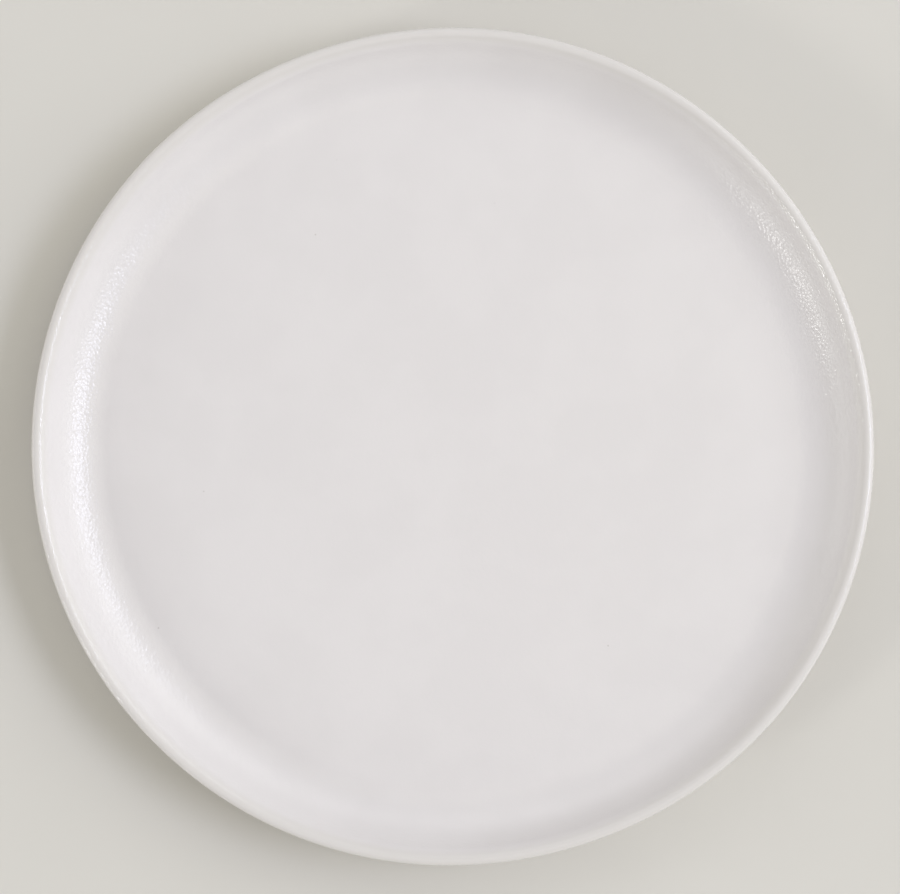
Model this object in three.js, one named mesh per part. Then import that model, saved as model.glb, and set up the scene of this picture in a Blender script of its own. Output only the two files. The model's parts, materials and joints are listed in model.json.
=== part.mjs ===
// Coupe salad plate in glazed stoneware, in millimetres with +Z up.
// The origin lies on the table, under the centre of the plate.
//
// A fired plate is one clay body that glass has been melted onto. The clay is pressed and
// turned on a wheel, so every piece is a revolved profile about Z:
//   stoneware_body   the clay, with the well, cove, lip, heel and foot ring
//   glaze_coat       the white glaze over the well, the lip and the outside
//   foot_well_glaze  the same glaze in the hollow inside the foot ring
// The two glazes are separate because the foot ring is wiped bare before firing.

import * as THREE from 'three';

// Overall sizes, over the glaze
const plateDiameter = 216;
const plateHeight = 20;

// Wall and lip, over the glaze. The wall is two round arcs, the cove inside and the heel outside.
const lipOuterRadius = 1.5;
const lipInnerRadius = 2;
const lipRoll = 37; // degrees that the inner round turns before the shoulder takes over
const shoulderRadius = 7; // slow round from the lip down to the cove
const coveInset = 18; // from the edge of the plate to the foot of the cove
const heelInset = 20; // from the edge of the plate to the foot of the heel

// Well, over the glaze
const floorThickness = 6;
const dipDepth = 0.4; // the well sinks this much between the foot ring and the cove
const dipRun = 18;

// Foot ring, in bare clay
const footInset = 32; // from the edge of the plate to the outside of the ring
const footWidth = 5;
const footHeight = 4.6; // from the table to the glazed underside
const footEdgeRadius = 0.8;
const footFilletRadius = 1.6;

// Glaze
const glazeThickness = 0.4;
const lipGlazeThickness = 0.22; // molten glaze draws away from the crest of the lip
const glazeLine = 1; // height of the wiped band above the table
const bondGap = 0.02; // keeps the facets of glaze and clay from crossing

// Facets
const turnSegments = 64;
const heelSteps = 6;
const lipUnderSteps = 1;
const lipOuterSteps = 4;
const lipInnerSteps = 2;
const shoulderSteps = 2;
const coveSteps = 7;
const dipSteps = 3;
const filletSteps = 2;
const edgeSteps = 2;

const plateRadius = plateDiameter / 2;
const wellZ = footHeight + floorThickness;
const coveStart = plateRadius - coveInset;
const footOuterRadius = plateRadius - footInset;
const footInnerRadius = footOuterRadius - footWidth;

// The lip's two rounds meet at its crest, and the shoulder goes on from the inner one without a crease.
function crestArc(radius) {
  return { centre: new THREE.Vector2(plateRadius - lipOuterRadius, plateHeight - radius), radius };
}

const lipOuter = crestArc(lipOuterRadius);
const lipInner = crestArc(lipInnerRadius);
const roll = THREE.MathUtils.degToRad(lipRoll);
const shoulderWay = new THREE.Vector2(Math.sin(roll), -Math.cos(roll));
const shoulder = {
  centre: lipInner.centre.clone().addScaledVector(shoulderWay, shoulderRadius - lipInnerRadius),
  radius: shoulderRadius,
};

// The arc that leaves a level face at startRadius and runs into another arc without a crease. That
// arc lies inside the heel (side 1) and outside the cove (side -1).
function wallArc(startRadius, levelZ, other, side) {
  const reach = other.centre.x - startRadius;
  const rise = other.centre.y - levelZ;
  const radius = (reach ** 2 + rise ** 2 - other.radius ** 2) / (2 * (rise - side * other.radius));
  const centre = new THREE.Vector2(startRadius, levelZ + radius);
  const slope = THREE.MathUtils.radToDeg(Math.atan2(reach, centre.y - other.centre.y));
  return { centre, radius, slope };
}

const cove = wallArc(coveStart, wellZ - dipDepth, shoulder, -1);
const heel = wallArc(plateRadius - heelInset, footHeight, lipOuter, 1);

// A station is a point of the glazed surface, with the way out of the clay there and the
// thickness of the glaze under it.
function station(radius, height, outRadius, outHeight, glaze = glazeThickness) {
  const at = new THREE.Vector2(radius, height);
  const out = new THREE.Vector2(outRadius, outHeight).normalize();
  return { at, out, glaze };
}

// Points of the stations' profile, sunk below the glazed surface by depth(station).
function sunk(stations, depth) {
  return stations.map((s) => s.at.clone().addScaledVector(s.out, -depth(s)));
}

const onGlaze = () => 0;
const underGlaze = (s) => s.glaze - bondGap;
const onClay = (s) => s.glaze;

// Stations round an arc, between two angles in degrees. The clay is inside the arc (bulge 1) or
// outside it (bulge -1), and the glaze goes from one thickness to the other.
function arcStations(arc, from, to, steps, { bulge = 1, glaze = [glazeThickness, glazeThickness] } = {}) {
  const stations = [];
  for (let i = 0; i <= steps; i += 1) {
    const angle = THREE.MathUtils.degToRad(THREE.MathUtils.lerp(from, to, i / steps));
    const cos = Math.cos(angle);
    const sin = Math.sin(angle);
    const thickness = THREE.MathUtils.lerp(glaze[0], glaze[1], i / steps);
    const radius = arc.centre.x + arc.radius * cos;
    const height = arc.centre.y + arc.radius * sin;
    stations.push(station(radius, height, bulge * cos, bulge * sin, thickness));
  }
  return stations;
}

// Runs that meet end to end, without the station that each shares with the run before it.
function joined(...runs) {
  return runs.flatMap((run, i) => (i > 0 ? run.slice(1) : run));
}

// Bare clay edge of the foot ring
function footEdge(radius, from, to) {
  const arc = { centre: new THREE.Vector2(radius, footEdgeRadius), radius: footEdgeRadius };
  return sunk(arcStations(arc, from, to, edgeSteps), onGlaze);
}

// Fillet where the glazed underside turns down into the foot ring
function footFillet(radius, from, to) {
  const centre = new THREE.Vector2(radius, footHeight - footFilletRadius);
  return arcStations({ centre, radius: footFilletRadius }, from, to, filletSteps, { bulge: -1 });
}

// The well's floor rises in half a wave from the foot of the cove to its flat middle.
function dipStations() {
  const stations = [];
  for (let i = 0; i <= dipSteps; i += 1) {
    const phase = (Math.PI * i) / dipSteps;
    const radius = coveStart - (dipRun * i) / dipSteps;
    const height = wellZ - (dipDepth * (1 + Math.cos(phase))) / 2;
    const slope = (dipDepth * Math.PI * Math.sin(phase)) / (2 * dipRun);
    stations.push(station(radius, height, slope, 1));
  }
  return stations;
}

// The glazed surface from the foot ring up the outside, over the lip and down into the well
function coatStations() {
  const footSide = footOuterRadius + glazeThickness;
  const thinning = { glaze: [glazeThickness, lipGlazeThickness] };
  const thickening = { glaze: [lipGlazeThickness, glazeThickness] };
  return [
    station(footSide, glazeLine + glazeThickness, 1, 0),
    ...footFillet(footSide + footFilletRadius, 180, 90),
    ...joined(
      arcStations(heel, -90, heel.slope - 90, heelSteps),
      arcStations(lipOuter, heel.slope - 90, 0, lipUnderSteps),
      arcStations(lipOuter, 0, 90, lipOuterSteps, thinning),
      arcStations(lipInner, 90, 90 + lipRoll, lipInnerSteps, thickening),
      arcStations(shoulder, 90 + lipRoll, 90 + cove.slope, shoulderSteps),
      arcStations(cove, cove.slope - 90, -90, coveSteps, { bulge: -1 }),
      dipStations(),
    ),
    station(0, wellZ, 0, 1),
  ];
}

// The glazed hollow under the plate, from the centre out to the inside of the foot ring
function hollowStations() {
  const footSide = footInnerRadius - glazeThickness;
  return [
    station(0, footHeight, 0, -1),
    ...footFillet(footSide - footFilletRadius, 90, 0),
    station(footSide, glazeLine + glazeThickness, -1, 0),
  ];
}

// The clay's profile runs from the centre of the hollow, round the foot ring and the lip, to the well.
function clayProfile() {
  return [
    ...sunk(hollowStations(), onClay),
    ...footEdge(footInnerRadius + footEdgeRadius, 180, 270),
    ...footEdge(footOuterRadius - footEdgeRadius, 270, 360),
    ...sunk(coatStations(), onClay),
  ];
}

// The coat's profile follows the clay out from the well to the glaze line and comes back over the glaze.
function coatProfile() {
  const edge = new THREE.Vector2(footOuterRadius + bondGap, glazeLine);
  const clayFace = sunk(coatStations(), underGlaze).reverse();
  return [...clayFace, edge, ...sunk(coatStations(), onGlaze)];
}

// The hollow's glaze runs out over its lower face to the glaze line and back under the clay.
function hollowProfile() {
  const edge = new THREE.Vector2(footInnerRadius - bondGap, glazeLine);
  const clayFace = sunk(hollowStations(), underGlaze).reverse();
  return [...sunk(hollowStations(), onGlaze), edge, ...clayFace];
}

// Revolves a profile about Z.
function turned(name, profile, finish) {
  const geometry = new THREE.LatheGeometry(profile, turnSegments);
  geometry.rotateX(Math.PI / 2);
  const mesh = new THREE.Mesh(geometry, new THREE.MeshStandardMaterial(finish));
  mesh.name = name;
  return mesh;
}

const satinWhite = { color: 0xe0dcdb, roughness: 0.45, metalness: 0 };
const buffClay = { color: 0xcbbba2, roughness: 0.9, metalness: 0 };

const plate = new THREE.Group();
plate.add(
  turned('stoneware_body', clayProfile(), buffClay),
  turned('glaze_coat', coatProfile(), satinWhite),
  turned('foot_well_glaze', hollowProfile(), satinWhite),
);

export default plate;
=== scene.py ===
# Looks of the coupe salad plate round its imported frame, in metres, +Z up
import json
import math

import bmesh
import bpy
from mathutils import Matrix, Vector


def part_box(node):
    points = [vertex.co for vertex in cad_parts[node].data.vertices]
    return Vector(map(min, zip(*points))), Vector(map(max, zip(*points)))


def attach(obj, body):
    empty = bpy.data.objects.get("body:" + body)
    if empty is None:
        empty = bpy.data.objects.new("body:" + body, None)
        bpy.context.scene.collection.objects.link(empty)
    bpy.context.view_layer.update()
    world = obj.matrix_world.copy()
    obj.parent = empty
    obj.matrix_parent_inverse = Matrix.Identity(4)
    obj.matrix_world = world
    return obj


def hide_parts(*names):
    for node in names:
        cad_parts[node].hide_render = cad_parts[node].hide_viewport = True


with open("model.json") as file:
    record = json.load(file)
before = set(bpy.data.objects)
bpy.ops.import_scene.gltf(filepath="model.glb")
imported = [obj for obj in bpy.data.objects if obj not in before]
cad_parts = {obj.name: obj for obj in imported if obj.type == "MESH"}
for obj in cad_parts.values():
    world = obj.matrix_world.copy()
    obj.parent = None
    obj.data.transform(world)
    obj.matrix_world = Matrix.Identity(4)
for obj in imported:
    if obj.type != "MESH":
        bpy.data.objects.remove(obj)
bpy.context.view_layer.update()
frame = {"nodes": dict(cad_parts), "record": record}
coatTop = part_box("glaze_coat")[1]
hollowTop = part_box("foot_well_glaze")[1]
mountPlace = {mount["name"]: mount["pos_m"] for mount in frame["record"]["mounts"]}
scene = bpy.context.scene
print("frame loaded:", ", ".join(sorted(frame["nodes"])))


# Plate: profile shared by the clay and both glazes

plate = dict(
    radius=coatTop.x,
    height=coatTop.z,
    wellZ=mountPlace["well_floor"][2],
    lipOuter=0.0015,         # rounds of the lip, outside and inside of its crest
    lipInner=0.002,
    lipRoll=37,              # degrees that the inner round turns before the shoulder
    shoulder=0.007,          # slow round from the lip down the inside of the wall
    coveInset=0.018,         # from the edge of the plate to the foot of the wall, inside
    heelInset=0.02,          # the same outside
    dipDepth=0.0004,         # the well sinks a little before the cove
    dipRun=0.018,
    undersideZ=0.0046,
    footInner=hollowTop.x,   # bare clay ring that the plate stands on
    footWidth=0.005,
    footEdge=0.0008,
    footFillet=0.0016,
    glaze=0.0004,
    glazeLine=0.001,         # wiped band above the table
    bond=0.00002,
)

# Steps along each run of the profile, and round the plate
steps = dict(
    foot=6,
    underside=5,
    heel=30,
    lipOut=20,
    lipIn=12,
    shoulder=10,
    cove=34,
    dip=14,
    floor=18,
    turn=256,
)

# Out of round as fired: waves round the rim, with the size and the phase of each
warp = dict(
    waves={2: (0.00032, 23), 3: (0.000115, 63), 4: (0.00012, 116), 6: (0.000075, -99)},
    rimOnly=4,               # how fast the warp dies away towards the centre
)

mergeDistance = 1e-7


def arcVerts(bm, centre, radius, start, end, count):
    # spins one vertex round a centre in the XZ plane
    first = bm.verts.new((centre[0] + radius * math.cos(math.radians(start)), 0,
                          centre[1] + radius * math.sin(math.radians(start))))
    before = len(bm.verts)
    bmesh.ops.spin(bm, geom=[first], cent=(centre[0], 0, centre[1]), axis=(0, -1, 0),
                   angle=math.radians(end - start), steps=count)
    bm.verts.ensure_lookup_table()
    return [first] + bm.verts[before:]


def lineVerts(bm, start, end, count=1):
    # the same spin with no turn, stepping straight along
    first = bm.verts.new((start[0], 0, start[1]))
    before = len(bm.verts)
    stride = ((end[0] - start[0]) / count, 0, (end[1] - start[1]) / count)
    bmesh.ops.spin(bm, geom=[first], cent=first.co, axis=(0, -1, 0), dvec=stride, angle=0, steps=count)
    bm.verts.ensure_lookup_table()
    return [first] + bm.verts[before:]


def wallArc(meet, meetSize, startX, levelZ, side):
    # arc from a level face that runs into a round of the lip, outside (side 1) or inside (side -1)
    run = meet[0] - startX
    rise = meet[1] - levelZ
    size = (run ** 2 + rise ** 2 - meetSize ** 2) / (2 * (rise - side * meetSize))
    slope = math.degrees(math.atan2(run, size - rise))
    return (startX, levelZ + size), size, slope


def joinRuns(bm, runs):
    for one, other in zip(runs, runs[1:]):
        if (one[-1].co - other[0].co).length > mergeDistance:
            bm.edges.new((one[-1], other[0]))
    bmesh.ops.remove_doubles(bm, verts=bm.verts[:], dist=mergeDistance)


def coatRuns(bm, sunk):
    # glazed face from the foot up over the lip and down into the well, sunk below the surface
    p = plate
    crestX = p["radius"] - p["lipOuter"]
    outerAt = (crestX, p["height"] - p["lipOuter"])
    innerAt = (crestX, p["height"] - p["lipInner"])
    roll = math.radians(p["lipRoll"])
    spare = p["shoulder"] - p["lipInner"]
    shoulderAt = (crestX + spare * math.sin(roll), innerAt[1] - spare * math.cos(roll))
    wellEdge = p["radius"] - p["coveInset"]
    wellLow = p["wellZ"] - p["dipDepth"]
    coveAt, coveSize, coveSlope = wallArc(shoulderAt, p["shoulder"], wellEdge, wellLow, -1)
    heelFoot = p["radius"] - p["heelInset"]
    heelAt, heelSize, heelSlope = wallArc(outerAt, p["lipOuter"], heelFoot, p["undersideZ"], 1)
    footX = p["footInner"] + p["footWidth"] + p["glaze"]
    fillet = p["footFillet"]
    filletAt = (footX + fillet, p["undersideZ"] - fillet)
    under = p["undersideZ"] + sunk
    lipEnd = 90 + p["lipRoll"]
    flatEdge = wellEdge - p["dipRun"]

    footSide = lineVerts(bm, (footX - sunk, p["glazeLine"] + p["glaze"]), (footX - sunk, filletAt[1]))
    filletRun = arcVerts(bm, filletAt, fillet + sunk, 180, 90, steps["foot"])
    underside = lineVerts(bm, (filletAt[0], under), (heelAt[0], under), steps["underside"])
    heel = arcVerts(bm, heelAt, heelSize - sunk, -90, heelSlope - 90, steps["heel"])
    lipOut = arcVerts(bm, outerAt, p["lipOuter"] - sunk, heelSlope - 90, 90, steps["lipOut"])
    lipIn = arcVerts(bm, innerAt, p["lipInner"] - sunk, 90, lipEnd, steps["lipIn"])
    shoulder = arcVerts(bm, shoulderAt, p["shoulder"] - sunk, lipEnd, 90 + coveSlope, steps["shoulder"])
    cove = arcVerts(bm, coveAt, coveSize + sunk, coveSlope - 90, -90, steps["cove"])
    dip = lineVerts(bm, (wellEdge, wellLow - sunk), (flatEdge, wellLow - sunk), steps["dip"])
    for vert in dip:
        share = (wellEdge - vert.co.x) / p["dipRun"]
        vert.co.z += p["dipDepth"] * (1 - math.cos(math.pi * share)) / 2
    well = lineVerts(bm, (flatEdge, p["wellZ"] - sunk), (0, p["wellZ"] - sunk), steps["floor"])
    return [footSide, filletRun, underside, heel, lipOut, lipIn, shoulder, cove, dip, well]


def hollowRuns(bm, sunk):
    # glazed face of the hollow inside the foot ring, from the centre out
    p = plate
    footX = p["footInner"] - p["glaze"]
    fillet = p["footFillet"]
    filletAt = (footX - fillet, p["undersideZ"] - fillet)
    roofZ = p["undersideZ"] + sunk
    roof = lineVerts(bm, (0, roofZ), (filletAt[0], roofZ), steps["floor"])
    filletRun = arcVerts(bm, filletAt, fillet + sunk, 90, 0, steps["foot"])
    footSide = lineVerts(bm, (footX + sunk, filletAt[1]), (footX + sunk, p["glazeLine"] + p["glaze"]))
    return [roof, filletRun, footSide]


def glazeEdge(bm, middleX):
    # rolled edge where the glaze stops at the glaze line
    centre = (middleX, plate["glazeLine"] + plate["glaze"])
    return arcVerts(bm, centre, plate["glaze"] / 2, 180, 360, steps["foot"])


def backwards(runs):
    return [run[::-1] for run in runs[::-1]]


def warpRim(bm):
    for vert in bm.verts:
        angle = math.atan2(vert.co.y, vert.co.x)
        reach = math.hypot(vert.co.x, vert.co.y)
        swell = sum(size * math.cos(count * angle + math.radians(phase))
                    for count, (size, phase) in warp["waves"].items())
        stretch = 1 + swell * (reach / plate["radius"]) ** warp["rimOnly"] / plate["radius"]
        vert.co.x *= stretch
        vert.co.y *= stretch


def turnPiece(bm, name, material):
    bmesh.ops.spin(bm, geom=bm.verts[:] + bm.edges[:], cent=(0, 0, 0), axis=(0, 0, 1),
                   angle=2 * math.pi, steps=steps["turn"], use_merge=True)
    # the centre is a whole ring of points until they are merged
    bmesh.ops.remove_doubles(bm, verts=bm.verts[:], dist=10 * mergeDistance)
    warpRim(bm)
    bmesh.ops.recalc_face_normals(bm, faces=bm.faces[:])
    for face in bm.faces:
        face.smooth = True
    mesh = bpy.data.meshes.new(name)
    bm.to_mesh(mesh)
    bm.free()
    mesh.materials.append(material)
    piece = bpy.data.objects.new(name, mesh)
    scene.collection.objects.link(piece)
    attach(piece, "root")
    print(name, "turned:", len(mesh.polygons), "faces")
    return piece


# Material nodes that the finishes share

def newMaterial(name):
    material = bpy.data.materials.new(name)
    material.use_nodes = True
    tree = material.node_tree
    place = addNode(tree, "ShaderNodeTexCoord").outputs["Object"]
    return material, tree, tree.nodes["Principled BSDF"], place


def addNode(tree, kind, **settings):
    node = tree.nodes.new(kind)
    for key, value in settings.items():
        if key in node.inputs:
            node.inputs[key].default_value = value
        else:
            setattr(node, key, value)
    return node


def mapRange(tree, source, low, high, toLow=0.0, toHigh=1.0):
    node = addNode(tree, "ShaderNodeMapRange", interpolation_type="SMOOTHSTEP")
    node.inputs["From Min"].default_value = low
    node.inputs["From Max"].default_value = high
    node.inputs["To Min"].default_value = toLow
    node.inputs["To Max"].default_value = toHigh
    tree.links.new(source, node.inputs["Value"])
    return node.outputs["Result"]


def multiply(tree, one, other):
    node = addNode(tree, "ShaderNodeMath", operation="MULTIPLY")
    tree.links.new(one, node.inputs[0])
    tree.links.new(other, node.inputs[1])
    return node.outputs["Value"]


def mixColour(tree, share, one, other):
    node = addNode(tree, "ShaderNodeMix", data_type="RGBA")
    tree.links.new(share, node.inputs["Factor"])
    # the node has sockets for numbers and vectors too
    ends = [socket for socket in node.inputs if socket.type == "RGBA"]
    for end, colour in zip(ends, (one, other)):
        if isinstance(colour, tuple):
            end.default_value = (*colour, 1)
        else:
            tree.links.new(colour, end)
    return next(socket for socket in node.outputs if socket.type == "RGBA")


def noise(tree, place, scale, detail):
    node = addNode(tree, "ShaderNodeTexNoise", Scale=scale, Detail=detail)
    tree.links.new(place, node.inputs["Vector"])
    return node.outputs["Fac"]


def voronoi(tree, place, scale):
    node = addNode(tree, "ShaderNodeTexVoronoi", Scale=scale)
    tree.links.new(place, node.inputs["Vector"])
    return node.outputs["Distance"], node.outputs["Color"]


def specks(tree, place, scale, size, share):
    # dots in a few of the cells, picked by each cell's own random colour
    distance, colour = voronoi(tree, place, scale)
    apart = addNode(tree, "ShaderNodeSeparateColor")
    tree.links.new(colour, apart.inputs["Color"])
    near = mapRange(tree, distance, *size, 1, 0)
    chosen = mapRange(tree, apart.outputs["Red"], *share)
    return multiply(tree, near, chosen)


def bump(tree, height, depth, invert=False):
    node = addNode(tree, "ShaderNodeBump", invert=invert, Strength=1.0, Distance=depth)
    tree.links.new(height, node.inputs["Height"])
    return node.outputs["Normal"]


# Satin white glaze

satinWhite = dict(
    white=(0.74, 0.715, 0.705),
    shade=(0.725, 0.70, 0.69),         # faint clouding of the glaze
    cloudScale=55,
    cloudDetail=3.0,
    cloudSpan=(0.35, 0.65),
    lipCream=(0.692, 0.667, 0.640),    # clay showing through where the glaze thins
    lipDrop=(0.004, 0.0008),           # where the cream starts and is full, below the crest
    lipInset=(0.0045, 0.0028),         # the same, in from the edge
    speck=(0.60, 0.57, 0.55),          # a few iron specks
    speckScale=170,
    speckSize=(0.025, 0.055),
    speckShare=(0.85, 0.90),
    bodyRoughness=0.6,
    gloss=(0.21, 0.25),                # roughness of the glassy skin
    glossSpan=(0.3, 0.7),
    lipGloss=0.4,                      # share of that roughness on the lip
    peelScale=1320,                    # orange peel, which breaks the highlights into sparkles
    peelDepth=0.000087,
)


def lipMask(tree, place):
    # 1 on the lip, which is high up and far out
    apart = addNode(tree, "ShaderNodeSeparateXYZ")
    tree.links.new(place, apart.inputs["Vector"])
    flat = addNode(tree, "ShaderNodeVectorMath", operation="MULTIPLY")
    flat.inputs[1].default_value = (1, 1, 0)
    tree.links.new(place, flat.inputs[0])
    reach = addNode(tree, "ShaderNodeVectorMath", operation="LENGTH")
    tree.links.new(flat.outputs["Vector"], reach.inputs[0])
    highSpan = [plate["height"] - drop for drop in satinWhite["lipDrop"]]
    outSpan = [plate["radius"] - inset for inset in satinWhite["lipInset"]]
    high = mapRange(tree, apart.outputs["Z"], *highSpan)
    out = mapRange(tree, reach.outputs["Value"], *outSpan)
    return multiply(tree, high, out)


def satinGlaze():
    g = satinWhite
    material, tree, shader, place = newMaterial("satin_white_glaze")
    lip = lipMask(tree, place)
    cloud = noise(tree, place, g["cloudScale"], g["cloudDetail"])
    clouded = mixColour(tree, mapRange(tree, cloud, *g["cloudSpan"]), g["white"], g["shade"])
    creamed = mixColour(tree, lip, clouded, g["lipCream"])
    dots = specks(tree, place, g["speckScale"], g["speckSize"], g["speckShare"])
    tree.links.new(mixColour(tree, dots, creamed, g["speck"]), shader.inputs["Base Color"])
    # glassy skin with orange peel over a smooth body
    shader.inputs["Roughness"].default_value = g["bodyRoughness"]
    shader.inputs["Specular IOR Level"].default_value = 0
    shader.inputs["Coat Weight"].default_value = 1
    distance, _ = voronoi(tree, place, g["peelScale"])
    domes = multiply(tree, distance, distance)
    tree.links.new(bump(tree, domes, g["peelDepth"], invert=True), shader.inputs["Coat Normal"])
    skin = mapRange(tree, cloud, *g["glossSpan"], *g["gloss"])
    polish = mapRange(tree, lip, 0, 1, 1, g["lipGloss"])
    tree.links.new(multiply(tree, skin, polish), shader.inputs["Coat Roughness"])
    return material


# Bare clay of the foot ring

buffClay = dict(
    buff=(0.58, 0.48, 0.35),
    pale=(0.66, 0.57, 0.44),
    mottleScale=220,
    mottleDetail=6.0,
    mottleSpan=(0.35, 0.65),
    iron=(0.20, 0.13, 0.08),
    ironScale=700,
    ironSize=(0.12, 0.25),
    ironShare=(0.8, 0.9),
    gritScale=1400,
    gritDetail=4.0,
    gritSpan=(0.3, 0.7),
    gritDepth=0.00006,
    roughness=(0.82, 0.95),
)


def bareStoneware():
    c = buffClay
    material, tree, shader, place = newMaterial("bare_stoneware")
    mottle = noise(tree, place, c["mottleScale"], c["mottleDetail"])
    clay = mixColour(tree, mapRange(tree, mottle, *c["mottleSpan"]), c["buff"], c["pale"])
    dots = specks(tree, place, c["ironScale"], c["ironSize"], c["ironShare"])
    tree.links.new(mixColour(tree, dots, clay, c["iron"]), shader.inputs["Base Color"])
    grit = noise(tree, place, c["gritScale"], c["gritDetail"])
    tree.links.new(bump(tree, grit, c["gritDepth"]), shader.inputs["Normal"])
    rough = mapRange(tree, grit, *c["gritSpan"], *c["roughness"])
    tree.links.new(rough, shader.inputs["Roughness"])
    return material


glazeFinish = satinGlaze()
clayFinish = bareStoneware()
print("materials made:", glazeFinish.name, "and", clayFinish.name)


# Glaze coat: a shell as thick as the glaze, with a rolled edge at the glaze line

def buildGlazeCoat():
    bm = bmesh.new()
    footX = plate["footInner"] + plate["footWidth"]
    edge = glazeEdge(bm, footX + plate["glaze"] / 2)
    outer = coatRuns(bm, 0)
    inner = backwards(coatRuns(bm, plate["glaze"]))
    joinRuns(bm, inner + [edge] + outer)
    piece = turnPiece(bm, "plate_glaze_coat", glazeFinish)
    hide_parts("glaze_coat")


# Glaze in the hollow under the plate

def buildFootWellGlaze():
    bm = bmesh.new()
    edge = glazeEdge(bm, plate["footInner"] - plate["glaze"] / 2)
    outer = hollowRuns(bm, 0)
    inner = backwards(hollowRuns(bm, plate["glaze"]))
    joinRuns(bm, outer + [edge] + inner)
    piece = turnPiece(bm, "plate_foot_well_glaze", glazeFinish)
    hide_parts("foot_well_glaze")


# Clay body: everything under the glaze, with the bare foot ring showing

def buildStonewareBody():
    bm = bmesh.new()
    sunk = plate["glaze"] + plate["bond"]
    edge = plate["footEdge"]
    footOuter = plate["footInner"] + plate["footWidth"]
    innerEdge = arcVerts(bm, (plate["footInner"] + edge, edge), edge, 180, 270, steps["foot"])
    outerEdge = arcVerts(bm, (footOuter - edge, edge), edge, 270, 360, steps["foot"])
    joinRuns(bm, hollowRuns(bm, sunk) + [innerEdge, outerEdge] + coatRuns(bm, sunk))
    piece = turnPiece(bm, "plate_stoneware_body", clayFinish)
    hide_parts("stoneware_body")


buildGlazeCoat()
buildFootWellGlaze()
buildStonewareBody()


# Table top

tableTop = dict(
    size=4.0,
    colour=(0.67, 0.652, 0.603),
    shade=(0.655, 0.637, 0.588),
    patchScale=12.0,
    patchDetail=3.0,
    patchSpan=(0.3, 0.7),
    roughness=0.75,
    shine=0.2,
)


def buildTable():
    t = tableTop
    bm = bmesh.new()
    bmesh.ops.create_grid(bm, x_segments=2, y_segments=2, size=t["size"] / 2)
    mesh = bpy.data.meshes.new("table_top")
    bm.to_mesh(mesh)
    bm.free()
    material, tree, shader, place = newMaterial("pale_table")
    patch = noise(tree, place, t["patchScale"], t["patchDetail"])
    shaded = mixColour(tree, mapRange(tree, patch, *t["patchSpan"]), t["colour"], t["shade"])
    tree.links.new(shaded, shader.inputs["Base Color"])
    shader.inputs["Roughness"].default_value = t["roughness"]
    shader.inputs["Specular IOR Level"].default_value = t["shine"]
    mesh.materials.append(material)
    table = bpy.data.objects.new("table_top", mesh)
    scene.collection.objects.link(table)
    print("table laid:", t["size"], "m across")


buildTable()


# Light: soft boxes round the table, aimed at the plate, and an even room

studio = dict(
    room=0.352,
    roomColour=(1.0, 0.98, 0.965, 1),
    boxes={
        # name: azimuth, elevation, half width, half height in degrees, strength on the plate, colour
        "window": (0, 48, 16, 8, 0.75, (0.955, 1.0, 1.26)),
        "wallBounce": (22, 38, 36, 20, 1.55, (0.985, 0.995, 0.97)),
        "backBounce": (105, 40, 24, 17, 0.44, (1.0, 0.995, 1.02)),
        "overhead": (0, 76, 16, 12, 0.15, (1.06, 1.0, 0.62)),
        "overheadFront": (285, 76, 16, 12, 0.085, (1.08, 1.0, 1.0)),
        "sideLamp": (208, 26, 5, 4.5, 0.42, (1.0, 1.0, 0.98)),
        "leftCard": (195, 12, 44, 12, 0.98, (0.99, 1.0, 1.01)),
        "frontCard": (295, 12, 44, 12, 0.56, (1.02, 1.0, 0.91)),
        "rightCard": (0, 10, 30, 8, 0.24, (1.0, 1.0, 1.0)),
    },
    distance=4.0,
)


def buildBox(name, azimuth, elevation, halfWidth, halfHeight, strength, colour):
    reach = studio["distance"]
    lamp = bpy.data.lights.new(name, "AREA")
    lamp.shape = "ELLIPSE"
    lamp.size = 2 * reach * math.tan(math.radians(halfWidth))
    lamp.size_y = 2 * reach * math.tan(math.radians(halfHeight))
    lamp.color = colour
    # watts that give the named light on a surface facing the box
    lamp.energy = strength * math.pi * reach ** 2
    level = math.cos(math.radians(elevation))
    towards = Vector((math.cos(math.radians(azimuth)) * level,
                      math.sin(math.radians(azimuth)) * level,
                      math.sin(math.radians(elevation))))
    box = bpy.data.objects.new(name, lamp)
    box.location = towards * reach
    box.rotation_euler = towards.to_track_quat("Z", "Y").to_euler()
    scene.collection.objects.link(box)


def buildRoom():
    world = bpy.data.worlds.new("room")
    world.use_nodes = True
    background = world.node_tree.nodes["Background"]
    background.inputs["Color"].default_value = studio["roomColour"]
    background.inputs["Strength"].default_value = studio["room"]
    scene.world = world


for boxName, boxSettings in studio["boxes"].items():
    buildBox(boxName, *boxSettings)
buildRoom()
print("lights set:", len(studio["boxes"]), "boxes")


# Camera: straight above, with the plate where the photograph has it

cameraRig = dict(
    image=(900, 894),
    platePixel=(452.5, 446.9),
    plateRadiusPixels=421.4,
    distance=0.56,           # above the rim
    sensor=36.0,
)


def buildCamera():
    c = cameraRig
    camera = bpy.data.objects.new("camera", bpy.data.cameras.new("camera"))
    scene.collection.objects.link(camera)
    metresPerPixel = plate["radius"] / c["plateRadiusPixels"]
    offX = (c["image"][0] / 2 - c["platePixel"][0]) * metresPerPixel
    offY = (c["platePixel"][1] - c["image"][1] / 2) * metresPerPixel
    camera.location = (offX, offY, plate["height"] + c["distance"])
    camera.data.sensor_width = c["sensor"]
    camera.data.lens = c["sensor"] * c["distance"] / (c["image"][0] * metresPerPixel)
    scene.camera = camera
    print("camera set:", round(camera.data.lens, 1), "mm")


buildCamera()
scene.view_settings.view_transform = "Standard"
